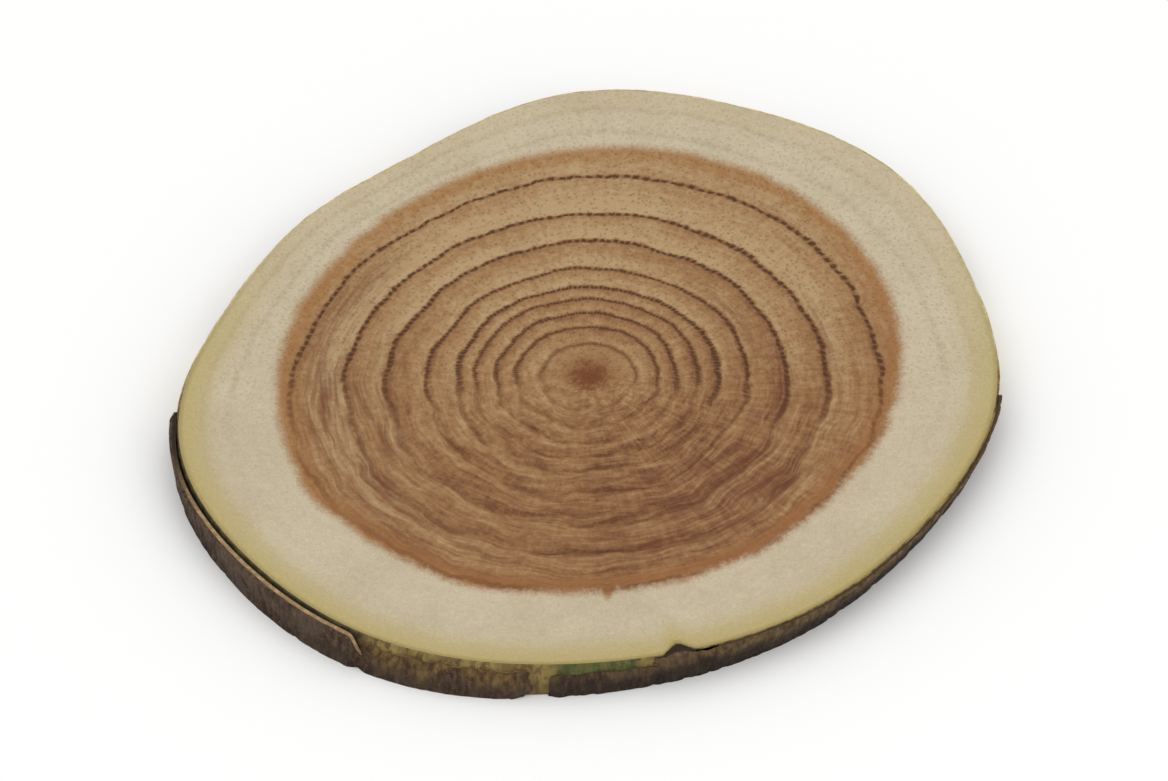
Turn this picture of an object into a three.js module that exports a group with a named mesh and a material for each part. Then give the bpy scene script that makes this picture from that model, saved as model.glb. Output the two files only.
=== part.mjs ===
// Wood slice: a thin disc sawn across a branch. Its growth rings stand out on the upper face, and
// round its rim the bark is partly torn away from the inner bark.
// Millimetres, +Z up. The origin is the pith, where it meets the underside.
// Directions are in degrees, counter-clockwise from +X, seen from above.
import * as THREE from 'three';

// Size of the slice
const MEAN_RADIUS = 32.9; // of the wood, without any bark
const THICKNESS = 3.1;
const SLANT_SHIFT = 0.4; // the saw cut the branch at a slant, so the upper face lies this far along +X

// The outline departs from a circle by a few broad lobes and some low ones
const OUTLINE_LOBES = [
  { count: 1, height: 0.85, peak: -56 },
  { count: 2, height: 2.0, peak: 45 },
  { count: 3, height: 0.67, peak: -38 },
  { count: 4, height: 0.2, peak: 0 },
  { count: 7, height: 0.3, peak: -10 },
  { count: 8, height: 0.12, peak: 4 },
];

// The branch is crooked, so the wall doesn't go straight down from that outline: its foot lies further in,
// by an even part and by lobes that turn it out again on one side
const FOOT_INSET = 0.35;
const FOOT_LOBES = [
  { count: 2, height: 0.5, peak: 248 },
  { count: 3, height: 0.2, peak: 248 },
];

// Growth rings: the soft wood that begins a ring lies lower than the hard wood that ends the one before it
const RING_RADII = [3.9, 5.9, 7.5, 9.2, 10.7, 13.1, 16.4, 19.7, 24.1, 28.9, 31.2]; // mean ones
const RING_FOLLOWS = 3.5; // the power of its share of the radius by which a ring takes on the outline's lobes
const RING_DRIFT = { height: 0.8, peak: 250 }; // the branch grew more to one side, most of all midway out
const RING_DROP = 0.15;
const RING_STEP_WIDTH = 0.4;
const PITH_RADIUS = 1.3;
const PITH_DEPTH = 0.3;

// Layers of the rim: the inner bark goes all round, and the bark lies on it in torn patches.
// A patch runs between two directions, and its thickness goes evenly from its start to its end. It covers
// the wall from its foot to its top, as shares of the slice's thickness. A loose patch has sprung off the
// wood at its upper edge and leaves a crack behind it.
const INNER_BARK = 0.25;
const BARK_PATCHES = [
  { from: 187, to: 239, foot: 0, top: 1, start: 0.5, end: 0.6, crack: 1.3 },
  { from: 241, to: 262, foot: 0, top: 0.7, start: 0.55, end: 0.5, crack: 0 },
  { from: 266, to: 282, foot: 0, top: 0.6, start: 0.35, end: 0.3, crack: 0 },
  { from: 282, to: 357, foot: 0, top: 1, start: 0.3, end: 0.25, crack: 0 },
  { from: 22, to: 64, foot: 0, top: 0.55, start: 0.4, end: 0.5, crack: 0 },
  { from: 92, to: 118, foot: 0.3, top: 0.75, start: 0.45, end: 0.45, crack: 0 },
  { from: 128, to: 168, foot: 0, top: 0.6, start: 0.5, end: 0.4, crack: 0 },
];
const PATCH_END = 2.5; // degrees over which a patch rises to its thickness
const TORN_EDGE = 0.12; // share of the slice's thickness over which a torn upper or lower edge rises
const TORN_WAVES = { count: 17, height: 0.07 }; // round the rim; how far that edge wanders, as such a share
const BARK_RIDGES = { count: 31, height: 0.09, lean: 2.5 }; // round the rim; their lean is in radians
const CRACK_WIDTH = 0.3; // at the upper face, and none at the underside
const CRACK_OPEN_DEPTH = 1; // a crack this deep or deeper has its full width
const BUD_SCAR = { direction: 283, halfWidth: 2.8, depth: 1 }; // bark grown into the wood's edge

// Fineness of the surface
const SECTORS = 108;
const WALL_SHARES = [0, 0.2, 0.4, 0.6, 0.8];

const { degToRad, euclideanModulo, lerp, smoothstep } = THREE.MathUtils;

// How far some lobes stand out in a direction
function lobes(list, direction) {
  return list.reduce((sum, lobe) => {
    return sum + lobe.height * Math.cos(lobe.count * degToRad(direction - lobe.peak));
  }, 0);
}

// A bump of height 1 that falls to 0 at a scar's half width
function scar(direction) {
  const away = euclideanModulo(direction - BUD_SCAR.direction + 180, 360) - 180;
  return 1 - smoothstep(Math.abs(away), 0, BUD_SCAR.halfWidth);
}

// How far the rings are drawn to one side: not at the pith or the edge, and fully two thirds of the way out
function ringDrift(share, direction) {
  const midway = (27 / 4) * share * share * (1 - share);
  return RING_DRIFT.height * midway * Math.cos(degToRad(direction - RING_DRIFT.peak));
}

// Radius of a growth ring in a direction: round at the pith, and more like the outline further out
function ringRadius(meanRadius, direction) {
  const share = meanRadius / MEAN_RADIUS;
  const outline = lobes(OUTLINE_LOBES, direction) * share ** RING_FOLLOWS;
  return meanRadius + outline + ringDrift(share, direction);
}

// Radius of the wood's edge, which the bud scar dents
function woodRadius(direction) {
  return ringRadius(MEAN_RADIUS, direction) - BUD_SCAR.depth * scar(direction);
}

// How far the wall lies out from the wood's upper edge, at a height as a share of the thickness
function wallShift(direction, heightShare) {
  return (lobes(FOOT_LOBES, direction) - FOOT_INSET) * (1 - heightShare);
}

// How fully a patch covers the wall in a direction, from 0 to 1
function patchAlong(patch, direction) {
  const past = euclideanModulo(direction - patch.from, 360);
  const span = patch.to - patch.from;
  if (past >= span) return 0;
  return smoothstep(past, 0, PATCH_END) * smoothstep(span - past, 0, PATCH_END);
}

// How fully a patch covers a height on the wall, as a share of the thickness, from 0 to 1
function patchUp(patch, direction, heightShare) {
  const wave = TORN_WAVES.height * Math.sin(TORN_WAVES.count * degToRad(direction));
  const belowTop = patch.top < 1 ? patch.top + wave - heightShare : 1;
  const aboveFoot = patch.foot > 0 ? heightShare - patch.foot - wave : 1;
  return smoothstep(belowTop, 0, TORN_EDGE) * smoothstep(aboveFoot, 0, TORN_EDGE);
}

// Thickness of the bark on the wall, with ridges that lean along the rim
function barkThickness(direction, heightShare) {
  const phase = BARK_RIDGES.count * degToRad(direction) + BARK_RIDGES.lean * heightShare;
  const ridges = BARK_RIDGES.height * Math.sin(phase);
  return BARK_PATCHES.reduce((most, patch) => {
    const cover = patchAlong(patch, direction) * patchUp(patch, direction, heightShare);
    const alongShare = euclideanModulo(direction - patch.from, 360) / (patch.to - patch.from);
    return Math.max(most, cover * (lerp(patch.start, patch.end, alongShare) + ridges));
  }, 0);
}

// Depth of the crack between the wood and the bark
function crackDepth(direction) {
  return BARK_PATCHES.reduce((most, patch) => Math.max(most, patch.crack * patchAlong(patch, direction)), 0);
}

// Radius where the bark begins: outside the inner bark, and outside the crack where the bark is loose
function barkInnerRadius(direction, heightShare) {
  const crackWidth = CRACK_WIDTH * smoothstep(crackDepth(direction), 0, CRACK_OPEN_DEPTH);
  return woodRadius(direction) + wallShift(direction, heightShare) + INNER_BARK + crackWidth * heightShare;
}

// Radius of the wall, where the bark fills the bud scar
function wallRadius(direction, heightShare) {
  const scarFill = BUD_SCAR.depth * scar(direction);
  return barkInnerRadius(direction, heightShare) + barkThickness(direction, heightShare) + scarFill;
}

// The slice's surface as rows, from the pith on the underside round the wall to the pith on the upper face.
// Each row gives its radius and its height in a direction.
function surfaceRows() {
  const underside = [{ radius: () => 0, height: () => 0 }];
  const wall = WALL_SHARES.map((share) => ({
    radius: (direction) => wallRadius(direction, share),
    height: () => share * THICKNESS,
  }));
  const rim = [
    { radius: (direction) => wallRadius(direction, 1), height: () => THICKNESS },
    { radius: (direction) => barkInnerRadius(direction, 1), height: () => THICKNESS },
    {
      radius: (direction) => woodRadius(direction) + INNER_BARK / 2,
      height: (direction) => THICKNESS - crackDepth(direction),
    },
    { radius: woodRadius, height: () => THICKNESS },
  ];
  const rings = [...RING_RADII].reverse().flatMap((mean) => [
    { radius: (direction) => ringRadius(mean, direction), height: () => THICKNESS - RING_DROP },
    { radius: (direction) => ringRadius(mean - RING_STEP_WIDTH, direction), height: () => THICKNESS },
  ]);
  const pith = [
    { radius: () => PITH_RADIUS, height: () => THICKNESS },
    { radius: () => 0, height: () => THICKNESS - PITH_DEPTH },
  ];
  return [...underside, ...wall, ...rim, ...rings, ...pith];
}

// A disc of revolution with one ring of points for each row; the points are then moved to the surface
function sliceGeometry() {
  const rows = surfaceRows();
  const profile = rows.map((row) => new THREE.Vector2(row.radius(0), row.height(0)));
  const geometry = new THREE.LatheGeometry(profile, SECTORS).rotateX(Math.PI / 2);
  const points = geometry.attributes.position;
  for (let i = 0; i < points.count; i++) {
    const row = rows[i % rows.length];
    const column = Math.floor(i / rows.length) % SECTORS; // the last column closes on the first
    const direction = (column * 360) / SECTORS - 90; // a lathe's first column, turned upright, is at -Y
    const radius = row.radius(direction);
    const height = row.height(direction);
    points.setXYZ(
      i,
      radius * Math.cos(degToRad(direction)) + (SLANT_SHIFT * height) / THICKNESS,
      radius * Math.sin(degToRad(direction)),
      height,
    );
  }
  geometry.computeVertexNormals();
  return geometry;
}

const wood = new THREE.MeshStandardMaterial({ color: 0xb59b78, roughness: 0.85, metalness: 0 });
const slice = new THREE.Mesh(sliceGeometry(), wood);
slice.name = 'wood_slice';

const part = new THREE.Group();
part.add(slice);

export default part;
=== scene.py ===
"""Looks of the wood slice: a fine mesh of the sawn disc and torn patches of bark round its rim."""

import math
from functools import reduce
from typing import NamedTuple

import bpy
import numpy as np
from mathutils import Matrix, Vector, noise


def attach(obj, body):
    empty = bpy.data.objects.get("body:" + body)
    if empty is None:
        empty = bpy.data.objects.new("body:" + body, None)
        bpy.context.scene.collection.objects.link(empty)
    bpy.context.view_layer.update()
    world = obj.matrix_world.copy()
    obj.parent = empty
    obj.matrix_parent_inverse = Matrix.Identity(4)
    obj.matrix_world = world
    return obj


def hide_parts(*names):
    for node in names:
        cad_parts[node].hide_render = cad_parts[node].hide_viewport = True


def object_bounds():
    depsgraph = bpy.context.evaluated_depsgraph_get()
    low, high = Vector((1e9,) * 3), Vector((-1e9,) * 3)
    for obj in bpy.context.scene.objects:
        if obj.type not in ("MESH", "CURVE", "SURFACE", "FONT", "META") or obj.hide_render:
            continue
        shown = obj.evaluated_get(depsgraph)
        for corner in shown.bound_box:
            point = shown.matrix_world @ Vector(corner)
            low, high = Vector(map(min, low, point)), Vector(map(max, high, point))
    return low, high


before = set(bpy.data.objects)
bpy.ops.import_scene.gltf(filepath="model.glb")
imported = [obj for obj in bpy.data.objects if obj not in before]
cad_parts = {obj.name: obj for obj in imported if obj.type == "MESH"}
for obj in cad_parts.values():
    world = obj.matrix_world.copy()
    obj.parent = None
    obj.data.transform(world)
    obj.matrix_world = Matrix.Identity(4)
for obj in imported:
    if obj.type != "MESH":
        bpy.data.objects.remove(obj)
cad_low, cad_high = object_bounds()

MM = 0.001  # one millimetre, in the scene's metres

# Form of the slice, in millimetres and in degrees counter-clockwise from +X, as in its solid
THICKNESS = (cad_high.z - cad_low.z) / MM
MEAN_RADIUS = 32.9  # of the wood, without any bark
SLANT_SHIFT = 0.4  # how far the upper face lies along +X from the underside
OUTLINE_LOBES = (  # count, height, direction of a peak
    (1, 0.85, -56),
    (2, 2.0, 45),
    (3, 0.67, -38),
    (4, 0.2, 0),
    (7, 0.3, -10),
    (8, 0.12, 4),
)
FOOT_INSET = 0.35  # how far the wall's foot lies in from the upper outline, apart from these lobes
FOOT_LOBES = ((2, 0.5, 248), (3, 0.2, 248))
INNER_BARK = 0.25
FIBRE_HEIGHT = 0.04  # of the fibres that run up the wall
FIBRE_SCALE = (1, 1, 0.1)  # a small last value stretches the relief upwards
FIBRE_WIDTH = 0.5
SWELL_HEIGHT = 0.06  # of the broader swellings under them
SWELL_SCALE = (1, 1, 0.4)
SWELL_WIDTH = 3.0
ROUNDED = 0.1  # how far the wall's upper and lower edges are rounded off, over a share of its height
ROUNDED_SHARE = 0.07
SCAR_DIRECTION = 283  # a bud scar, where bark has grown into the wood's edge
SCAR_HALF_WIDTH = 2.8
SCAR_DEPTH = 1.1
SCAR_REACH = 2.0  # how far in from the edge the rings bend round it

# The heartwood's edge: its lobes, and small bumps with their direction, height and half width
HEART_RADIUS = 25.75
HEART_LOBES = ((1, 0.8, 85), (2, 1.0, 48), (3, 0.2, -46))
HEART_BUMPS = ((211, 0.6, 9), (247, 0.5, 14), (273.4, 0.8, 1.4), (329, -0.4, 18))
HEART_WAVER = 0.2  # how far the edge wavers besides, and the length of its waves
HEART_WAVER_LENGTH = 2.5
DARK_SIDE = 285  # the direction in which the heartwood is darkest

# Growth rings: where each begins, how dark its line of pores is, and the tone of its early and late wood
HEART_RINGS = (
    (0.0, 0.0, 0.50, 0.42),
    (3.9, 0.60, 0.26, 0.54),
    (5.9, 0.80, 0.30, 0.60),
    (7.5, 0.85, 0.30, 0.62),
    (9.2, 0.80, 0.32, 0.62),
    (10.7, 1.00, 0.24, 0.58),
    (13.1, 0.85, 0.28, 0.66),
    (16.4, 1.00, 0.16, 0.56),
    (19.7, 1.00, 0.10, 0.48),
    (24.1, 1.00, 0.34, 0.40),
)
SAP_RINGS = (28.9, 31.2)
RING_FOLLOWS = 3.5  # the power of its share of the radius by which a ring takes on the outline's lobes
RING_DRIFT = 0.8  # how far the rings are drawn to one side, most of all midway out
DRIFT_DIRECTION = 250
RING_STARTS = [ring[0] for ring in HEART_RINGS[1:]] + list(SAP_RINGS)
RING_DROP = 0.12  # the soft wood that begins a ring lies this much lower
RING_STEP = 0.35  # the width of the slope down to it
RING_WOBBLE = 0.3  # how far a ring wobbles, and the length of its waves
RING_WOBBLE_LENGTH = 6.0
RING_CALM = 3.0  # the rings don't wobble at the pith and at the wood's edge, but fully this far from them
FACE_WAVES = (0.25, 0.2)  # mean height and spread of low waves in a sawn face, as shares of the drop
FACE_WAVE_LENGTH = 2.2
EARLY_SHARE = 0.75  # of a ring's width, over which its wood rises again
PITH_RADIUS = 1.3
PITH_DEPTH = 0.25

# Zones round the slice: first and last direction, and the degrees over which the ends are soft
ZONES = {
    "crisp": (-8, 186, 24),  # where pores show clearly; elsewhere the saw smeared them
    "feathered": (285, 365, 20),  # where the heartwood runs out along the rays
    "yellow": (165, 372, 35),  # where the sapwood is yellow towards the rim
    "bare": (4, 180, 8),  # the clean side of the inner bark
    "green": (265.5, 277, 2),  # a mossy place on the inner bark
    "crack_shade": (188, 239, 2),  # painted shade on the inner bark in the narrow gap behind the loose bark
}

# Dark blotches on the heartwood: direction and radius of the middle, length along the ring, width, darkness
STAINS = (
    (308, 16.5, 7, 2.6, 0.8),
    (322, 20, 4, 1.2, 0.9),
    (292, 20.5, 8, 1.1, 0.7),
    (300, 13, 5, 1.0, 0.6),
    (215, 21, 3.0, 0.8, 0.9),
    (205, 18, 4, 0.7, 0.5),
    (345, 16, 4, 0.9, 0.5),
    (357, 15.9, 6, 0.7, 0.6),
    (6, 19.9, 7, 0.5, 0.6),
    (358, 24.6, 6, 0.5, 0.5),
    (33, 14, 6, 0.7, 0.5),
    (150, 21, 5, 1.0, 0.4),
    (183, 21.5, 4, 1.0, 0.4),
    (186, 22.0, 9, 2.6, 0.4),
    (218, 22.5, 9, 2.0, 0.4),
    (160, 22.0, 6, 1.6, 0.25),
    (183, 17.5, 7, 2.0, 0.3),
    (275, 4.5, 3, 1.6, 0.35),
)


class Patch(NamedTuple):
    """A patch of bark between two directions, from its foot to its top as shares of the slice's thickness."""

    first: float
    last: float
    top: float
    start: float  # thickness at its first direction, and at its last one
    end: float
    foot: float = 0.0
    loose: float = 0.0  # how far it has sprung off the wood at its upper edge
    tail: float = 0.0  # the share of its height that it loses at its last direction
    pale: float = 0.5  # how pale its torn and sawn edges are
    pale_from: float = -1.0  # the share of its length where they begin to turn pale; below 0, all along
    olive: float = 0.0  # how far its outer layer has rubbed off to the olive one below
    dark: float = 0.0  # how dark its foot is painted, as shade where the wall meets the floor


BARK_PATCHES = (
    Patch(187, 239.5, 1, 0.5, 0.6, loose=0.26, tail=0.6, pale=1, pale_from=0.12),
    Patch(238.5, 262, 0.8, 0.55, 0.5, olive=0.8),
    Patch(265, 280.5, 0.72, 0.35, 0.3, pale=0.3, olive=0.3, dark=0.5),
    Patch(279.5, 288.5, 1, 0.35, 0.25, pale=0, olive=0.4, dark=0.7),
    Patch(285, 359, 1, 0.25, 0.25, tail=0.4, pale=0.1, olive=0.5, dark=0.7),
    Patch(22, 64, 0.55, 0.4, 0.5),
    Patch(92, 118, 0.75, 0.45, 0.45, foot=0.3),
    Patch(128, 168, 0.6, 0.5, 0.4),
)
BARK_SINK = 0.06  # how far a patch reaches into the inner bark
BARK_LEAST = 0.12  # the least thickness of a patch
TORN_THIN = 0.4  # share of its thickness that a patch keeps at a torn edge
TORN_RISE = 0.9  # millimetres in from a torn edge where it has its whole thickness
TORN_END = 1.1  # degrees by which a torn end wanders
TORN_EDGE = 0.3  # millimetres by which a torn upper or lower edge wanders
CURL = 1.0  # how much wider the gap is where a loose patch's end turns out, as a share of it
CURL_FROM = 0.92  # share of a patch's length where it begins to turn out
LOOSE_FROM = 0.15  # share of the thickness where a loose patch begins to leave the wood
LOOSE_RUN = 0.3  # share of its length over which it comes loose
TAIL_RUN = 1.6  # millimetres over which a tail tapers
PALE_RUN = 0.3  # share of a patch's length over which its edges turn pale
TORN_END_LENGTH = 1.5  # millimetres from bend to bend of a torn end, and of a torn edge
TORN_EDGE_LENGTH = 1.8
LUMP_HEIGHT = 0.07  # of lumps in the bark, which are stretched upwards by their scale
LUMP_SCALE = (1, 1, 0.5)
LUMP_WIDTH = 1.6
FISSURE_DEPTH = 0.1
FISSURE_SCALE = (1, 1, 0.22)
FISSURE_WIDTH = 0.9
FISSURE_EDGE = (0.15, 0.6)  # roughness at which a fissure begins, and at which it has its full depth
PATCH_SEED = 31.7  # steps between the random values of the patches, and between those of a patch's edges
EDGE_SEED = 6.5

# Fineness of the meshes
SECTORS = 480  # points round the disc
FACE_STEP = 0.5  # millimetres between the rows of points on the upper face
UNDERSIDE_STEP = 1.2
RING_ROWS = (-0.35, -0.12, 0.12, 0.4)  # rows of points beside the start of a ring
UNDERSIDE_RING_ROWS = (-0.2, 0.2)
WALL_ROWS = 14
BARK_STEP = 0.28
BARK_ROWS = 16
SHARP_ANGLE = 38  # degrees between faces, from which their edge stays sharp


def smoothstep(x, low, high):
    """Goes smoothly from 0 to 1 as x goes from low to high."""
    t = np.clip((x - low) / (high - low), 0, 1)
    return t * t * (3 - 2 * t)


def rough(points, size, octaves=3):
    """Random values of about -1 to 1 that vary smoothly between points, over a size in millimetres."""
    flat = np.reshape(points, (-1, 3)) / size
    values = [noise.fractal(Vector(p), 1.0, 2.0, octaves) for p in flat]
    return np.reshape(values, np.shape(points)[:-1])


def lobes(table, direction):
    """How far some lobes stand out in a direction."""
    return sum(height * np.cos(count * np.radians(direction - peak)) for count, height, peak in table)


def away(direction, middle):
    """Degrees between two directions, either way round."""
    return np.abs((direction - middle + 180) % 360 - 180)


def sector(direction, first, last, soft):
    """1 between two directions and 0 outside them, with ends that are soft over some degrees."""
    half = (last - first) / 2
    return 1 - smoothstep(away(direction, first + half), half - soft, half + soft)


def scar(direction):
    """A bump of height 1 at the bud scar."""
    return 1 - smoothstep(away(direction, SCAR_DIRECTION), 0, SCAR_HALF_WIDTH)


def ring_radius(mean, direction):
    """Radius of a ring: round at the pith, drawn to one side midway out, and like the outline at the edge."""
    share = mean / MEAN_RADIUS
    midway = 27 / 4 * share**2 * (1 - share)  # at most 1
    drift = RING_DRIFT * midway * np.cos(np.radians(direction - DRIFT_DIRECTION))
    return mean + lobes(OUTLINE_LOBES, direction) * share**RING_FOLLOWS + drift


def wood_radius(direction):
    """Radius of the wood's edge, which the bud scar dents."""
    return ring_radius(MEAN_RADIUS, direction) - SCAR_DEPTH * scar(direction)


def wall_shift(direction, share):
    """How far the wall lies out from the wood's upper edge, at a height as a share of the thickness."""
    return (lobes(FOOT_LOBES, direction) - FOOT_INSET) * (1 - share)


def place(radius, direction, height):
    """Points, in millimetres, at a radius from the pith, which leans along +X as it rises."""
    angle = np.radians(direction)
    x = radius * np.cos(angle) + SLANT_SHIFT * height / THICKNESS
    y = radius * np.sin(angle)
    return np.stack([x, y, height + np.zeros_like(x)], axis=-1)


def heart_radius(direction):
    """Radius of the heartwood's edge, which wavers."""
    flat = place(np.full_like(direction, HEART_RADIUS), direction, np.zeros_like(direction))
    bumps = sum(
        height * (1 - smoothstep(away(direction, middle), 0, half)) for middle, height, half in HEART_BUMPS
    )
    waver = HEART_WAVER * rough(flat, HEART_WAVER_LENGTH)
    return HEART_RADIUS + lobes(HEART_LOBES, direction) + bumps + waver


def ring_drop(age):
    """How low the wood lies, from 0 to 1, at a mean radius: lowest where a ring begins."""
    edges = np.array([0, *RING_STARTS, MEAN_RADIUS])
    last = len(edges) - 2
    ring = np.clip(np.searchsorted(edges, age, side="right") - 1, 0, last)
    since = (age - edges[ring]) / (edges[ring + 1] - edges[ring])
    early = np.where(ring > 0, 1 - smoothstep(since, 0, EARLY_SHARE), 0)
    step = smoothstep(age, edges[ring + 1] - RING_STEP, edges[ring + 1])
    return np.maximum(early, np.where(ring < last, step, 0))


def face_ages(step, beside_rings):
    """Mean radii of the rows of points on a sawn face, from the pith out."""
    ring_rows = [start + offset for start in RING_STARTS for offset in beside_rings]
    even_rows = [
        age
        for age in np.arange(step, MEAN_RADIUS - step / 2, step)
        if all(abs(age - row) > step / 3 for row in ring_rows)
    ]
    return np.array(sorted(even_rows + ring_rows) + [MEAN_RADIUS])


def face_rows(ages, directions, level, rise):
    """Points of a sawn face, one row for each mean radius, with their mean radii, directions and radii.

    Low wood lies off the level by rise, which is 1 upwards and -1 downwards.
    """
    age, direction = np.meshgrid(ages, directions, indexing="ij")
    flat = place(ring_radius(age, direction), direction, np.full_like(age, level))
    inside = smoothstep(MEAN_RADIUS - age, 0, RING_CALM)
    wobble = RING_WOBBLE * rough(flat, RING_WOBBLE_LENGTH) * inside * smoothstep(age, 0, RING_CALM)
    dent = SCAR_DEPTH * scar(direction) * smoothstep(age, MEAN_RADIUS - SCAR_REACH, MEAN_RADIUS)
    shift = wall_shift(direction, level / THICKNESS) * (age / MEAN_RADIUS) ** 2
    radius = ring_radius(age, direction) + shift + wobble - dent
    waves = FACE_WAVES[0] + FACE_WAVES[1] * rough(flat, FACE_WAVE_LENGTH)
    low = RING_DROP * (ring_drop(age) + waves * inside)
    low = low + PITH_DEPTH * (1 - smoothstep(age, 0, PITH_RADIUS))
    return place(radius, direction, level + rise * low), age, direction, radius


def wall_rows(directions):
    """Points of the wall, of inner bark with fibres that run up it."""
    share, direction = np.meshgrid(np.linspace(0, 1, WALL_ROWS), directions, indexing="ij")
    whole = wood_radius(direction) + wall_shift(direction, share) + INNER_BARK
    flat = place(whole, direction, share * THICKNESS)
    fibres = FIBRE_HEIGHT * rough(flat * FIBRE_SCALE, FIBRE_WIDTH)
    swell = SWELL_HEIGHT * rough(flat * SWELL_SCALE, SWELL_WIDTH)
    edge = ROUNDED * (smoothstep(share, 1 - ROUNDED_SHARE, 1) + 1 - smoothstep(share, 0, ROUNDED_SHARE))
    return place(whole + fibres + swell - edge, direction, share * THICKNESS), direction


def stains(points):
    """How dark the blotches make each point, from 0 to 1."""
    x = points[:, 0] - SLANT_SHIFT * points[:, 2] / THICKNESS
    y = points[:, 1]
    total = np.zeros(len(points))
    for direction, radius, length, width, dark in STAINS:
        angle = np.radians(direction)
        along = y * np.cos(angle) - x * np.sin(angle)
        out = x * np.cos(angle) + y * np.sin(angle) - radius + along**2 / (2 * radius)
        total += dark * np.exp(-((out / width) ** 2) - (along / length) ** 2)
    return np.clip(total, 0, 1)


def new_piece(name, points, faces, materials, values):
    """A mesh piece in the row frame, from points in millimetres, with a value for each point."""
    mesh = bpy.data.meshes.new(name)
    mesh.from_pydata((points * MM).tolist(), [], faces)
    for material in materials:
        mesh.materials.append(material)
    for key, numbers in values.items():
        attribute = mesh.attributes.new(key, "FLOAT", "POINT")
        attribute.data.foreach_set("value", numbers.astype(np.float32))
    mesh.validate()
    mesh.shade_smooth()
    mesh.set_sharp_from_angle(angle=math.radians(SHARP_ANGLE))
    piece = bpy.data.objects.new(name, mesh)
    bpy.context.collection.objects.link(piece)
    return piece


def make_wood(cut_wood, inner_bark):
    """The disc: underside, wall and upper face in one closed mesh."""
    directions = np.arange(SECTORS) * 360 / SECTORS
    under_ages = face_ages(UNDERSIDE_STEP, UNDERSIDE_RING_ROWS)
    upper_ages = face_ages(FACE_STEP, RING_ROWS)[::-1]
    under, under_age, under_direction, under_radius = face_rows(under_ages, directions, 0.0, 1)
    upper, upper_age, upper_direction, upper_radius = face_rows(upper_ages, directions, THICKNESS, -1)
    wall, wall_direction = wall_rows(directions)
    low = RING_DROP + PITH_DEPTH
    poles = place(np.zeros(2), np.zeros(2), np.array([low, THICKNESS - low]))
    rows = np.concatenate([under, wall, upper])
    points = np.concatenate([rows.reshape(-1, 3), poles])

    count = len(rows)
    grid = np.arange(count * SECTORS).reshape(count, SECTORS)
    after = np.roll(grid, -1, axis=1)
    bottom_pole = count * SECTORS
    top_pole = bottom_pole + 1
    faces = np.stack([grid[:-1], after[:-1], after[1:], grid[1:]], axis=-1).reshape(-1, 4).tolist()
    faces += [[b, a, bottom_pole] for a, b in zip(grid[0], after[0])]
    faces += [[a, b, top_pole] for a, b in zip(grid[-1], after[-1])]

    at_rim = np.full_like(wall_direction, MEAN_RADIUS)
    age = np.concatenate([under_age, at_rim, upper_age]).ravel()
    radius = np.concatenate([under_radius, wood_radius(wall_direction), upper_radius]).ravel()
    direction = np.concatenate([under_direction, wall_direction, upper_direction]).ravel()
    at_poles = {"age": 0.0, "heart": -HEART_RADIUS, "rim": MEAN_RADIUS}
    values = {
        "age": age,
        "heart": radius - heart_radius(direction),
        "rim": wood_radius(direction) - radius,
        "stain": stains(rows.reshape(-1, 3)),
        "shaded": (1 + np.cos(np.radians(direction - DARK_SIDE))) / 2,  # towards the darker heartwood
    }
    values.update({name: sector(direction, *zone) for name, zone in ZONES.items()})
    values = {key: np.append(numbers, [at_poles.get(key, 0.0)] * 2) for key, numbers in values.items()}
    piece = new_piece("slice_wood", points, faces, [cut_wood, inner_bark], values)

    is_wall = np.zeros((count - 1, SECTORS), np.int32)
    is_wall[len(under) - 1 : len(under) + len(wall)] = 1
    slots = np.append(is_wall.ravel(), np.zeros(2 * SECTORS, np.int32))
    piece.data.polygons.foreach_set("material_index", slots)
    return piece


def ragged(along, seed, size):
    """A wavering line: random values along it, of about -1 to 1."""
    points = np.stack([along, np.full_like(along, seed), np.zeros_like(along)], axis=-1)
    return rough(points, size, octaves=4)


def quads_of(grid):
    """Faces between the points of a grid."""
    return np.stack([grid[:-1, :-1], grid[1:, :-1], grid[1:, 1:], grid[:-1, 1:]], axis=-1).reshape(-1, 4)


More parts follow.
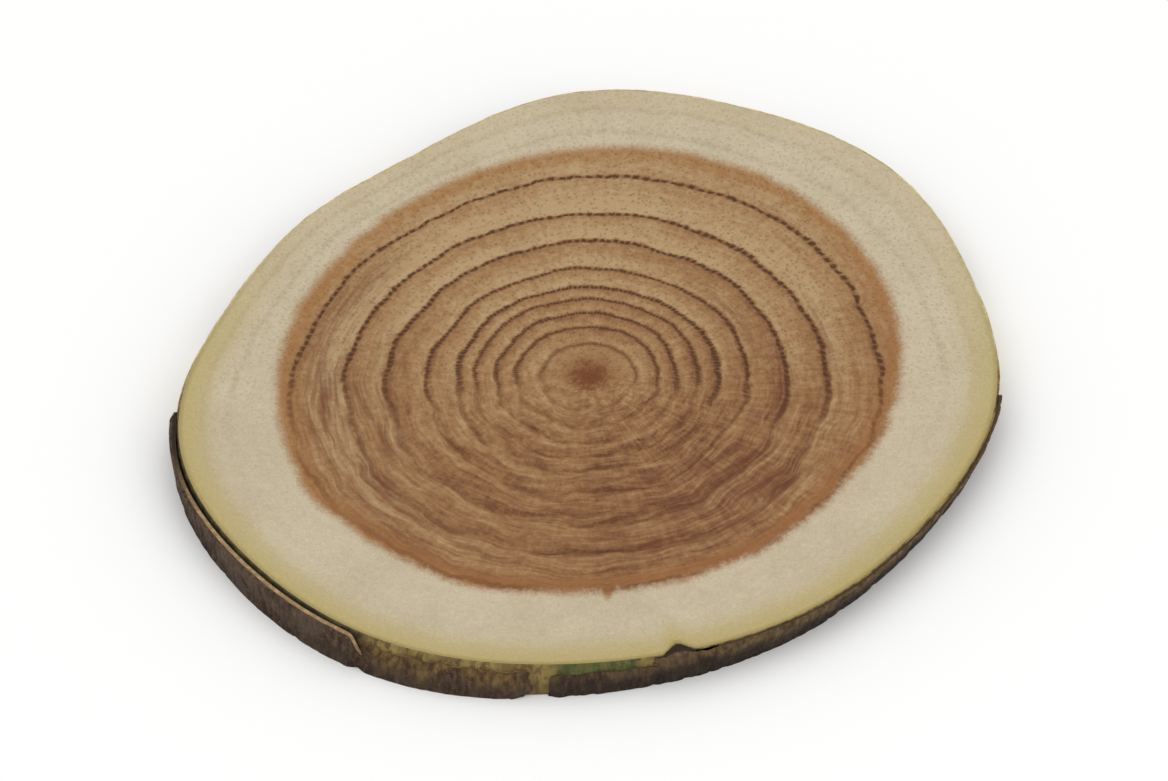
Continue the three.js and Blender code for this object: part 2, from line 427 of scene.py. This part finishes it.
def bark_patch(patch, seed):
    """Points and faces of one closed patch of bark, and how far along it each point is, as a share.

    The outer points come first and as many inner points after them.
    """
    length = math.radians(patch.last - patch.first) * MEAN_RADIUS
    columns = round(length / BARK_STEP)
    u, v = np.meshgrid(np.linspace(0, 1, columns + 1), np.linspace(0, 1, BARK_ROWS + 1), indexing="ij")
    first = patch.first + TORN_END * ragged(v * THICKNESS, seed, TORN_END_LENGTH)
    last = patch.last + TORN_END * ragged(v * THICKNESS, seed + EDGE_SEED, TORN_END_LENGTH)
    direction = first + (last - first) * u

    top_torn = patch.top < 1
    foot_torn = patch.foot > 0
    top = patch.top * THICKNESS * (1 - patch.tail * smoothstep(u * length, length - TAIL_RUN, length))
    foot = np.full_like(u, patch.foot * THICKNESS)
    if top_torn:
        top = top + TORN_EDGE * ragged(u * length, seed + 2 * EDGE_SEED, TORN_EDGE_LENGTH)
    if foot_torn:
        foot = foot + TORN_EDGE * ragged(u * length, seed + 3 * EDGE_SEED, TORN_EDGE_LENGTH)
    height = foot + (top - foot) * v

    inset = np.minimum(u, 1 - u) * length
    if top_torn:
        inset = np.minimum(inset, (1 - v) * (top - foot))
    if foot_torn:
        inset = np.minimum(inset, v * (top - foot))
    thickness = patch.start + (patch.end - patch.start) * u
    thickness = thickness * (TORN_THIN + (1 - TORN_THIN) * smoothstep(inset, 0, TORN_RISE))

    curl = 1 + CURL * smoothstep(u, CURL_FROM, 1)
    gap = patch.loose * curl * smoothstep(height / THICKNESS, LOOSE_FROM, 1) * smoothstep(u, 0, LOOSE_RUN)
    flat = place(np.full_like(u, MEAN_RADIUS), direction, height)
    lumps = LUMP_HEIGHT * rough(flat * LUMP_SCALE, LUMP_WIDTH)
    fissures = FISSURE_DEPTH * smoothstep(rough(flat * FISSURE_SCALE, FISSURE_WIDTH), *FISSURE_EDGE)
    out = wall_shift(direction, height / THICKNESS) + INNER_BARK + gap
    inner = wood_radius(direction) + out - BARK_SINK
    outer = ring_radius(MEAN_RADIUS, direction) + out + thickness + lumps - fissures
    outer = np.maximum(outer, inner + BARK_LEAST)

    points = [place(radius, direction, height).reshape(-1, 3) for radius in (outer, inner)]
    outside = np.arange(u.size).reshape(u.shape)
    inside = outside + u.size
    edge = np.concatenate([outside[:-1, 0], outside[-1, :-1], outside[:0:-1, -1], outside[0, :0:-1]])
    edge_next = np.roll(edge, -1)
    sides = np.stack([edge_next, edge, edge + u.size, edge_next + u.size], axis=-1)
    faces = np.concatenate([quads_of(outside), quads_of(inside)[:, ::-1], sides])
    return np.concatenate(points), faces, np.tile(u.ravel(), 2)


def make_bark(bark):
    """All the patches of bark in one mesh."""
    points, faces = [], []
    values = {"depth": [], "pale": [], "olive": [], "dark": []}
    count = 0
    for number, patch in enumerate(BARK_PATCHES):
        patch_points, patch_faces, along = bark_patch(patch, PATCH_SEED * number)
        points.append(patch_points)
        faces.append(patch_faces + count)
        count += len(patch_points)
        values["depth"].append(np.repeat([1.0, 0.0], len(along) // 2))
        values["pale"].append(patch.pale * smoothstep(along, patch.pale_from, patch.pale_from + PALE_RUN))
        values["olive"].append(np.full_like(along, patch.olive))
        values["dark"].append(np.full_like(along, patch.dark))
    values = {key: np.concatenate(numbers) for key, numbers in values.items()}
    return new_piece("slice_bark", np.concatenate(points), np.concatenate(faces).tolist(), [bark], values)


def srgb(red, green, blue):
    """A linear colour from its sRGB values of 0 to 255."""
    shares = np.array([red, green, blue]) / 255
    linear = np.where(shares <= 0.04045, shares / 12.92, ((shares + 0.055) / 1.055) ** 2.4)
    return (*linear.tolist(), 1.0)


NOISE_RANGE = (0.3, 0.7)  # between which most values of a noise node lie


class Nodes:
    """Adds nodes to a material's tree. An input is a value or another node's output."""

    def __init__(self, name):
        self.material = bpy.data.materials.new(name)
        self.material.use_nodes = True
        self.tree = self.material.node_tree
        self.shader = self.tree.nodes["Principled BSDF"]
        coordinates = self.add("ShaderNodeTexCoord")
        scaled = self.add("ShaderNodeVectorMath", {0: coordinates.outputs["Object"]}, operation="SCALE")
        scaled.inputs["Scale"].default_value = 1 / MM
        self.position = scaled.outputs[0]

    def add(self, kind, inputs=None, **settings):
        node = self.tree.nodes.new(kind)
        for key, value in settings.items():
            setattr(node, key, value)
        for key, value in (inputs or {}).items():
            self.set(node.inputs[key], value)
        return node

    def set(self, socket, value):
        if isinstance(value, bpy.types.NodeSocket):
            self.tree.links.new(value, socket)
        else:
            socket.default_value = value

    def value(self, name):
        return self.add("ShaderNodeAttribute", attribute_name=name).outputs["Fac"]

    def math(self, operation, a, b):
        return self.add("ShaderNodeMath", {0: a, 1: b}, operation=operation).outputs[0]

    def times(self, *factors):
        return reduce(lambda a, b: self.math("MULTIPLY", a, b), factors)

    def total(self, *terms):
        return reduce(lambda a, b: self.math("ADD", a, b), terms)

    def spread(self, value, amount):
        """A value of 0 to 1 as a departure of that amount in all, half of it either way."""
        return self.times(self.math("SUBTRACT", value, 0.5), amount)

    def vector(self, operation, a, b):
        return self.add("ShaderNodeVectorMath", {0: a, 1: b}, operation=operation).outputs[0]

    def noise(self, scale, vector=None, detail=3.0, roughness=0.55):
        """Random values, most of them spread over 0 to 1."""
        inputs = {"Vector": vector or self.position, "Scale": scale, "Detail": detail, "Roughness": roughness}
        return self.between(self.add("ShaderNodeTexNoise", inputs).outputs[0], *NOISE_RANGE)

    def voronoi(self, scale, vector=None):
        inputs = {"Vector": vector or self.position, "Scale": scale}
        return self.add("ShaderNodeTexVoronoi", inputs).outputs["Distance"]

    def cells(self, along):
        """Distance from the middle of the nearest cell on a line of cells, each about 1 long."""
        inputs = {"W": along, "Scale": 1.0, "Randomness": 0.5}
        return self.add("ShaderNodeTexVoronoi", inputs, voronoi_dimensions="1D").outputs["Distance"]

    def between(self, value, low, high, start=0.0, end=1.0):
        """Goes smoothly from start to end as value goes from low to high."""
        inputs = {"Value": value, "From Min": low, "From Max": high, "To Min": start, "To Max": end}
        return self.add("ShaderNodeMapRange", inputs, interpolation_type="SMOOTHSTEP").outputs["Result"]

    def fade(self, value, start, end):
        """Goes smoothly from start to end as value goes from 0 to 1."""
        return self.between(value, 0.0, 1.0, start, end)

    def line(self, value, start, end):
        """Goes evenly from start to end as value goes from 0 to 1."""
        return self.total(start, self.times(value, end - start))

    def mix(self, factor, a, b, blend="MIX"):
        settings = {"data_type": "RGBA", "blend_type": blend, "clamp_factor": True}
        return self.add("ShaderNodeMix", {0: factor, 6: a, 7: b}, **settings).outputs[2]

    def ramp(self, factor, stops):
        node = self.add("ShaderNodeValToRGB", {"Fac": factor})
        elements = node.color_ramp.elements
        while len(elements) < len(stops):
            elements.new(1.0)
        for element, (position, colour) in zip(elements, stops):
            element.position = position
            element.color = colour
        return node.outputs["Color"]

    def shade(self, colour, amount):
        """A colour made lighter or darker by a factor."""
        grey = self.add("ShaderNodeCombineColor", {0: amount, 1: amount, 2: amount}).outputs[0]
        return self.mix(1.0, colour, grey, blend="MULTIPLY")

    def bump(self, height, strength, distance):
        inputs = {"Height": height, "Strength": strength, "Distance": distance}
        return self.add("ShaderNodeBump", inputs).outputs["Normal"]

    def finish(self, colour, roughness, normal, specular):
        self.set(self.shader.inputs["Base Color"], colour)
        self.set(self.shader.inputs["Roughness"], roughness)
        self.set(self.shader.inputs["Normal"], normal)
        self.set(self.shader.inputs["Specular IOR Level"], specular)
        return self.material


# Sawn wood: colours, and lengths in millimetres
HEARTWOOD_TONES = (  # from the lightest tone, 0, to the darkest, 1
    (0.0, srgb(177, 149, 110)),
    (0.35, srgb(157, 120, 80)),
    (0.65, srgb(137, 96, 61)),
    (1.0, srgb(102, 63, 36)),
)
STAIN_BROWN = srgb(104, 58, 38)
EDGE_LIGHT_SIDE, EDGE_DARK_SIDE = srgb(155, 111, 62), srgb(147, 97, 54)
PITH_BROWN = srgb(108, 58, 26)
LINE_BROWN = srgb(76, 46, 24)
HEART_PORE_BROWN = srgb(112, 74, 46)
SAP_LIGHT, SAP_DARK = srgb(198, 185, 159), srgb(182, 168, 139)
SAP_PORE_BROWN = srgb(138, 116, 80)
SAP_YELLOW = srgb(179, 161, 106)
RIM_OLIVE = srgb(142, 124, 66)
FUZZ_SCALE, FLECK_SCALE, CLOUD_SCALE = 5.0, 1.6, 0.15  # features for each millimetre
RAYS = (40, 0.3, 3.0)  # features round the slice, features for each millimetre across, detail
STREAKS = (3.0, 1.3, 3.0)
HAIRS = (6.0, 3.4, 2.0)
BEND, BEND_SCALE = 0.4, 0.25  # how far the rings bend besides, and features for each millimetre
WAVER, WAVER_SCALE = 0.16, 1.4  # the same for the small bends of a line of pores
RAY_WAVER = 0.1
AGE_SPAN = 34.0  # the mean radius that the end of the ring ramp stands for
LINE_HALF_WIDTH = 0.42  # of a line of pores
MEAN_TONE = 0.43  # of the heartwood
PORES_PER_RADIAN = 30.0
PORE_SLANT = 0.25  # how far the pores of a line shift from ring to ring, in pores for each millimetre
PORE_EDGE = (0.46, 0.2)  # distances from a pore's middle where it begins and where it is darkest
SMALL_PORE_SCALE = 2.4
SMALL_PORE_EDGE = (0.42, 0.15)
EDGE_BAND = (-2.4, -0.6)  # where the darker edge of the heartwood begins, and where it is darkest
PITH_BAND = (2.6, 0.6)
YELLOW_BAND = (3.8, 0.4)  # the same for the yellow of the sapwood, in from the rim
OLIVE_BAND = (0.5, 0.05)
HEART_BLUR = (0.65, -0.6)  # how far out and in the heartwood's edge is soft
RAY_REACH = 0.32  # how far it runs out along the rays
WOOD_BUMP = 0.12


def ring_stops():
    """Stops of a ramp over the mean radius: red is the line of pores, green the tone of the wood."""
    stops = []
    ends = [ring[0] for ring in HEART_RINGS[1:]] + [AGE_SPAN]
    for (start, line, early, late), end in zip(HEART_RINGS, ends):
        if start > 0:
            stops.append((start / AGE_SPAN, (line, late, 0, 1)))
        stops.append(((start + LINE_HALF_WIDTH) / AGE_SPAN, (0, early, 0, 1)))
        stops.append(((end - LINE_HALF_WIDTH) / AGE_SPAN, (0, late, 0, 1)))
    return stops


def sap_stops():
    """Stops of a ramp over the mean radius: white at the lines of pores in the sapwood."""
    black = (0, 0, 0, 1)
    stops = [(0.0, black)]
    for start in SAP_RINGS:
        stops.append(((start - LINE_HALF_WIDTH) / AGE_SPAN, black))
        stops.append((start / AGE_SPAN, (1, 1, 1, 1)))
        stops.append(((start + LINE_HALF_WIDTH) / AGE_SPAN, black))
    return stops


def cut_wood_material():
    """Sawn end grain: brown heartwood with dotted rings, cream sapwood, fine rays and pores."""
    nodes = Nodes("cut_wood")
    names = ("age", "heart", "rim", "stain", "crisp", "shaded", "feathered", "yellow")
    age, heart, rim, stain, crisp, shaded, feathered, yellow = map(nodes.value, names)
    smeared = nodes.math("SUBTRACT", 1.0, crisp)
    fuzz = nodes.noise(FUZZ_SCALE, detail=4.0, roughness=0.7)
    flecks = nodes.noise(FLECK_SCALE, detail=4.0, roughness=0.65)
    clouds = nodes.noise(CLOUD_SCALE)

    # Streaks along the rings and rays across them, from noise over the direction and the bent mean radius
    off_axis = nodes.vector("SUBTRACT", nodes.position, (SLANT_SHIFT, 0, 0))
    from_pith = nodes.vector("MULTIPLY", off_axis, (1, 1, 0))
    outward = nodes.vector("NORMALIZE", from_pith, (0, 0, 0))
    bend = nodes.spread(nodes.noise(BEND_SCALE, detail=1.0), BEND)
    bent_age = nodes.total(age, nodes.times(bend, nodes.total(0.4, smeared)))

    def polar_noise(around, across, detail):
        lift = nodes.add("ShaderNodeCombineXYZ", {2: nodes.times(bent_age, across)}).outputs[0]
        spun = nodes.vector("MULTIPLY", outward, (around,) * 3)
        return nodes.noise(1.0, nodes.vector("ADD", spun, lift), detail=detail)

    rays = polar_noise(*RAYS)
    streaks = polar_noise(*STREAKS)
    hairs = polar_noise(*HAIRS)

    # Tone of the heartwood, from its rings and from streaks that are stronger where the saw smeared it
    waver = nodes.total(nodes.spread(nodes.noise(WAVER_SCALE), WAVER), nodes.spread(rays, RAY_WAVER))
    bands_at = nodes.math("DIVIDE", nodes.total(bent_age, waver), AGE_SPAN)
    bands = nodes.add("ShaderNodeSeparateColor", {0: nodes.ramp(bands_at, ring_stops())})
    line, ring_tone = bands.outputs[0], bands.outputs[1]
    tone = nodes.total(
        MEAN_TONE,
        nodes.times(nodes.math("SUBTRACT", ring_tone, MEAN_TONE), nodes.fade(smeared, 1.0, 0.5)),
        nodes.times(line, nodes.fade(crisp, 0.05, 0.4)),
        nodes.times(nodes.spread(shaded, 0.42), nodes.between(age, 1.0, 14.0)),
        nodes.times(nodes.spread(streaks, 0.28), nodes.line(smeared, 0.45, 1.0)),
        nodes.times(nodes.spread(hairs, 0.27), nodes.line(smeared, 0.35, 1.0)),
        nodes.spread(clouds, 0.12),
        nodes.spread(flecks, 0.22),
        nodes.spread(fuzz, 0.22),
        nodes.times(nodes.spread(rays, 0.14), nodes.total(0.6, feathered)),
    )
    heartwood = nodes.ramp(tone, HEARTWOOD_TONES)
    blotch = nodes.times(stain, nodes.total(nodes.times(streaks, 0.6), nodes.times(hairs, 0.5)))
    heartwood = nodes.mix(blotch, heartwood, STAIN_BROWN)
    edge_colour = nodes.mix(shaded, EDGE_LIGHT_SIDE, EDGE_DARK_SIDE)
    edge_band = nodes.times(nodes.between(heart, *EDGE_BAND), nodes.fade(flecks, 0.5, 0.95))
    heartwood = nodes.mix(edge_band, heartwood, edge_colour)
    ragged_age = nodes.total(age, nodes.spread(fuzz, 0.9), nodes.spread(flecks, 1.2))
    pith = nodes.between(ragged_age, *PITH_BAND)
    heartwood = nodes.mix(nodes.times(pith, 0.9), heartwood, PITH_BROWN)

    # Pores, evenly spaced along a line and clear where the saw left them so, and small ones everywhere
    axes = nodes.add("ShaderNodeSeparateXYZ", {0: from_pith}).outputs
    turn = nodes.times(nodes.math("ARCTAN2", axes[1], axes[0]), PORES_PER_RADIAN)
    pore_middles = nodes.cells(nodes.total(turn, nodes.times(bent_age, PORE_SLANT)))
    pores = nodes.between(pore_middles, *PORE_EDGE)
    clear_dots = nodes.total(0.2, nodes.times(pores, 0.75))
    smeared_dots = nodes.total(0.04, nodes.times(streaks, 0.4))
    line_dark = nodes.times(nodes.between(line, 0.25, 0.8), nodes.fade(smeared, clear_dots, smeared_dots))
    heartwood = nodes.mix(line_dark, heartwood, LINE_BROWN)
    small_pores = nodes.between(nodes.voronoi(SMALL_PORE_SCALE), *SMALL_PORE_EDGE)
    heart_pores = nodes.times(small_pores, nodes.fade(crisp, 0.2, 0.4))
    heartwood = nodes.mix(heart_pores, heartwood, HEART_PORE_BROWN)

    sap_mix = nodes.total(nodes.times(clouds, 0.5), nodes.times(flecks, 0.4))
    sapwood = nodes.mix(sap_mix, SAP_LIGHT, SAP_DARK)
    sap_shown = nodes.fade(crisp, 0.03, 0.16)
    sap_line = nodes.times(nodes.ramp(bands_at, sap_stops()), nodes.total(0.3, pores), sap_shown)
    sapwood = nodes.mix(sap_line, sapwood, SAP_PORE_BROWN)
    sap_pores = nodes.times(small_pores, nodes.fade(crisp, 0.08, 0.28))
    sapwood = nodes.mix(sap_pores, sapwood, SAP_PORE_BROWN)
    yellowing = nodes.times(nodes.between(rim, *YELLOW_BAND), nodes.fade(yellow, 0.2, 0.9))
    sapwood = nodes.mix(yellowing, sapwood, SAP_YELLOW)
    sapwood = nodes.mix(nodes.times(nodes.between(rim, *OLIVE_BAND), yellow, 0.6), sapwood, RIM_OLIVE)

    reach = nodes.times(nodes.spread(rays, RAY_REACH), feathered)
    boundary = nodes.total(heart, reach, nodes.spread(flecks, 0.4), nodes.spread(fuzz, 0.2))
    colour = nodes.mix(nodes.between(boundary, *HEART_BLUR), sapwood, heartwood)
    colour = nodes.shade(colour, nodes.fade(fuzz, 0.93, 1.05))

    height = nodes.total(nodes.times(fuzz, 0.5), nodes.times(line_dark, -1.0), nodes.times(streaks, 0.4))
    normal = nodes.bump(height, 0.5, WOOD_BUMP * MM)
    return nodes.finish(colour, roughness=nodes.fade(fuzz, 0.72, 0.9), normal=normal, specular=0.25)


# Inner bark: colours, and the scale of its marks along each axis, in features for each millimetre
INNER_LIGHT, INNER_DARK = srgb(150, 129, 74), srgb(108, 86, 46)
INNER_FLECK_BROWN = srgb(84, 62, 32)
MOSS_GREEN = srgb(58, 72, 30)
CLEAN_LIGHT, CLEAN_DARK = srgb(198, 182, 128), srgb(158, 138, 82)
# Painted shade for the narrow gap behind the loose bark
CRACK_SHADE_BROWN = srgb(48, 42, 22)
INNER_FIBRE_SCALE = (3.2, 3.2, 0.5)
INNER_PATCH_SCALE = 0.25
INNER_FLECK_SCALE, INNER_FLECK_STRETCH = 1.1, (1, 1, 0.6)
INNER_BUMP = 0.15


def inner_bark_material():
    """Inner bark laid bare on the wall: olive, greener in one place, pale on the clean side, with painted
    shade behind the loose bark.
    """
    nodes = Nodes("inner_bark")
    bare, green, crack_shade = map(nodes.value, ("bare", "green", "crack_shade"))
    fibres = nodes.noise(1.0, nodes.vector("MULTIPLY", nodes.position, INNER_FIBRE_SCALE), detail=4.0)
    patches = nodes.noise(INNER_PATCH_SCALE, detail=4.0)
    stretched = nodes.vector("MULTIPLY", nodes.position, INNER_FLECK_STRETCH)
    flecks = nodes.noise(INNER_FLECK_SCALE, stretched, detail=5.0, roughness=0.65)
    colour = nodes.mix(patches, INNER_LIGHT, INNER_DARK)
    colour = nodes.mix(nodes.between(flecks, 0.45, 0.8, 0.0, 0.8), colour, INNER_FLECK_BROWN)
    colour = nodes.mix(nodes.times(green, nodes.fade(flecks, 0.7, 1.0)), colour, MOSS_GREEN)
    clean = nodes.mix(nodes.times(patches, flecks), CLEAN_LIGHT, CLEAN_DARK)
    colour = nodes.mix(bare, colour, clean)
    # Painted shade: the inner bark darkens in the gap behind the loose bark
    colour = nodes.mix(nodes.times(crack_shade, nodes.fade(flecks, 0.75, 1.0)), colour, CRACK_SHADE_BROWN)
    colour = nodes.shade(colour, nodes.fade(fibres, 0.85, 1.1))
    normal = nodes.bump(fibres, 0.5, INNER_BUMP * MM)
    return nodes.finish(colour, roughness=0.7, normal=normal, specular=0.3)


# Bark: colours, and the scale of its marks in the same way
BARK_DARK, BARK_LIGHT = srgb(46, 33, 25), srgb(90, 68, 50)
BARK_GREY = srgb(92, 76, 62)
SPECK_BROWN = srgb(122, 98, 68)
RUBBED_DARK, RUBBED_LIGHT = srgb(74, 52, 26), srgb(126, 100, 54)
# Painted shade at the foot of a patch
FOOT_SHADE_BROWN = srgb(40, 30, 24)
TORN_DARK = srgb(44, 36, 24)
TORN_PALE_LIGHT, TORN_PALE_DARK = srgb(182, 154, 114), srgb(140, 112, 76)
BACK_SHADE_BROWN = srgb(52, 42, 24)  # painted shade on the side that lay on the inner bark, so that the gap behind a loose patch looks dark
BARK_FIBRE_SCALE = (2.2, 2.2, 0.9)
BARK_CLOUD_SCALE = 0.3
SPECK_SCALE, SPECK_STRETCH = 1.5, (1, 1, 1.6)
SPECK_EDGE = (0.3, 0.12)
BACK_SHADE_DEPTH = (0.02, 0.1)  # shares of a patch's thickness, from its back, where the back's painted shade ends
TORN_DEPTH = (0.5, 0.7)  # and where the torn layers do
BARK_BUMP = 0.2


def bark_material():
    """Dark bark, fissured and speckled, with paler inner layers where it is torn or sawn through, and painted
    shade towards its foot and on its back.
    """
    nodes = Nodes("bark")
    depth, pale, olive, dark = map(nodes.value, ("depth", "pale", "olive", "dark"))
    height = nodes.add("ShaderNodeSeparateXYZ", {0: nodes.position}).outputs[2]
    up = nodes.math("DIVIDE", height, THICKNESS)
    grain = nodes.vector("MULTIPLY", nodes.position, BARK_FIBRE_SCALE)
    fibres = nodes.noise(1.0, grain, detail=6.0, roughness=0.62)
    clouds = nodes.noise(BARK_CLOUD_SCALE)
    stretched = nodes.vector("MULTIPLY", nodes.position, SPECK_STRETCH)
    specks = nodes.between(nodes.voronoi(SPECK_SCALE, stretched), *SPECK_EDGE)
    brown = nodes.mix(fibres, BARK_DARK, BARK_LIGHT)
    brown = nodes.mix(nodes.times(nodes.between(clouds, 0.4, 0.9), 0.5), brown, BARK_GREY)
    brown = nodes.mix(nodes.times(specks, 0.35), brown, SPECK_BROWN)
    rubbed = nodes.mix(fibres, RUBBED_DARK, RUBBED_LIGHT)
    rubbed_at = nodes.between(nodes.total(up, nodes.spread(clouds, 0.6)), 0.3, 0.8)
    brown = nodes.mix(nodes.times(olive, rubbed_at), brown, rubbed)
    # Painted shade: the feet of some patches are darkened where the wall meets the floor
    brown = nodes.mix(nodes.times(dark, nodes.between(up, 0.85, 0.35)), brown, FOOT_SHADE_BROWN)
    # Painted shade and light: the bark is darker towards its foot and a little lighter towards its top
    brown = nodes.shade(brown, nodes.between(up, 0.0, 0.8, 0.75, 1.05))
    torn = nodes.mix(pale, TORN_DARK, nodes.mix(fibres, TORN_PALE_LIGHT, TORN_PALE_DARK))
    # Painted shade: a patch's back, and the edge beside it, are dark so the gap behind a loose patch looks
    # shadowed
    colour = nodes.mix(nodes.between(depth, *BACK_SHADE_DEPTH), BACK_SHADE_BROWN, torn)
    colour = nodes.mix(nodes.between(depth, *TORN_DEPTH), colour, brown)
    normal = nodes.bump(fibres, 0.8, BARK_BUMP * MM)
    return nodes.finish(colour, roughness=nodes.fade(fibres, 0.95, 0.75), normal=normal, specular=0.25)


# Studio, in metres and watts
FLOOR_HALF = 1.5  # half of its side
FLOOR_COLOUR = (0.9, 0.9, 0.895, 1)
FLOOR_ROUGHNESS = 0.9
WORLD_STRENGTH = 0.86
KEY_LIGHT = {"location": (-0.2, 0.0, 0.8), "size": 1.2, "power": 2.2}
FILL_LIGHT = {"location": (0.6, -0.5, 0.5), "size": 0.6, "power": 1.2}
CAMERA_ELEVATION = 45  # degrees, as in the photograph
CAMERA_DISTANCE = 2.0
CAMERA_WIDTH = 0.096  # what the picture spans across at the slice
SENSOR_WIDTH = 36.0  # millimetres


def make_floor():
    """A plain pale floor, which isn't part of the object."""
    nodes = Nodes("floor")
    nodes.set(nodes.shader.inputs["Base Color"], FLOOR_COLOUR)
    nodes.set(nodes.shader.inputs["Roughness"], FLOOR_ROUGHNESS)
    corners = [(x * FLOOR_HALF, y * FLOOR_HALF, 0) for x, y in ((-1, -1), (1, -1), (1, 1), (-1, 1))]
    mesh = bpy.data.meshes.new("floor")
    mesh.from_pydata(corners, [], [(0, 1, 2, 3)])
    mesh.materials.append(nodes.material)
    floor = bpy.data.objects.new("floor", mesh)
    bpy.context.collection.objects.link(floor)


def make_light(name, location, size, power):
    """A square lamp that faces the slice."""
    lamp = bpy.data.lights.new(name, "AREA")
    lamp.size = size
    lamp.energy = power
    light = bpy.data.objects.new(name, lamp)
    light.location = location
    light.rotation_euler = (-Vector(location)).to_track_quat("-Z", "Y").to_euler()
    bpy.context.collection.objects.link(light)


def make_studio():
    """Soft light from all sides, with a large lamp above and a small one at the front right."""
    scene = bpy.context.scene
    scene.view_settings.view_transform = "Standard"
    world = bpy.data.worlds.new("studio")
    scene.world = world
    world.use_nodes = True
    background = world.node_tree.nodes["Background"]
    background.inputs["Color"].default_value = (1, 1, 1, 1)
    background.inputs["Strength"].default_value = WORLD_STRENGTH
    make_light("key", **KEY_LIGHT)
    make_light("fill", **FILL_LIGHT)


def make_camera():
    """A long lens at the photograph's viewing angle."""
    data = bpy.data.cameras.new("camera")
    data.sensor_width = SENSOR_WIDTH
    data.lens = SENSOR_WIDTH * CAMERA_DISTANCE / CAMERA_WIDTH
    camera = bpy.data.objects.new("camera", data)
    rise = math.radians(CAMERA_ELEVATION)
    target = (cad_low + cad_high) / 2
    camera.location = target + CAMERA_DISTANCE * Vector((0, -math.cos(rise), math.sin(rise)))
    camera.rotation_euler = (math.pi / 2 - rise, 0, 0)
    bpy.context.collection.objects.link(camera)
    bpy.context.scene.camera = camera


make_camera()
make_studio()
make_floor()
slice_wood = make_wood(cut_wood_material(), inner_bark_material())
slice_bark = make_bark(bark_material())
for piece in (slice_wood, slice_bark):
    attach(piece, "root")
    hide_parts("wood_slice")
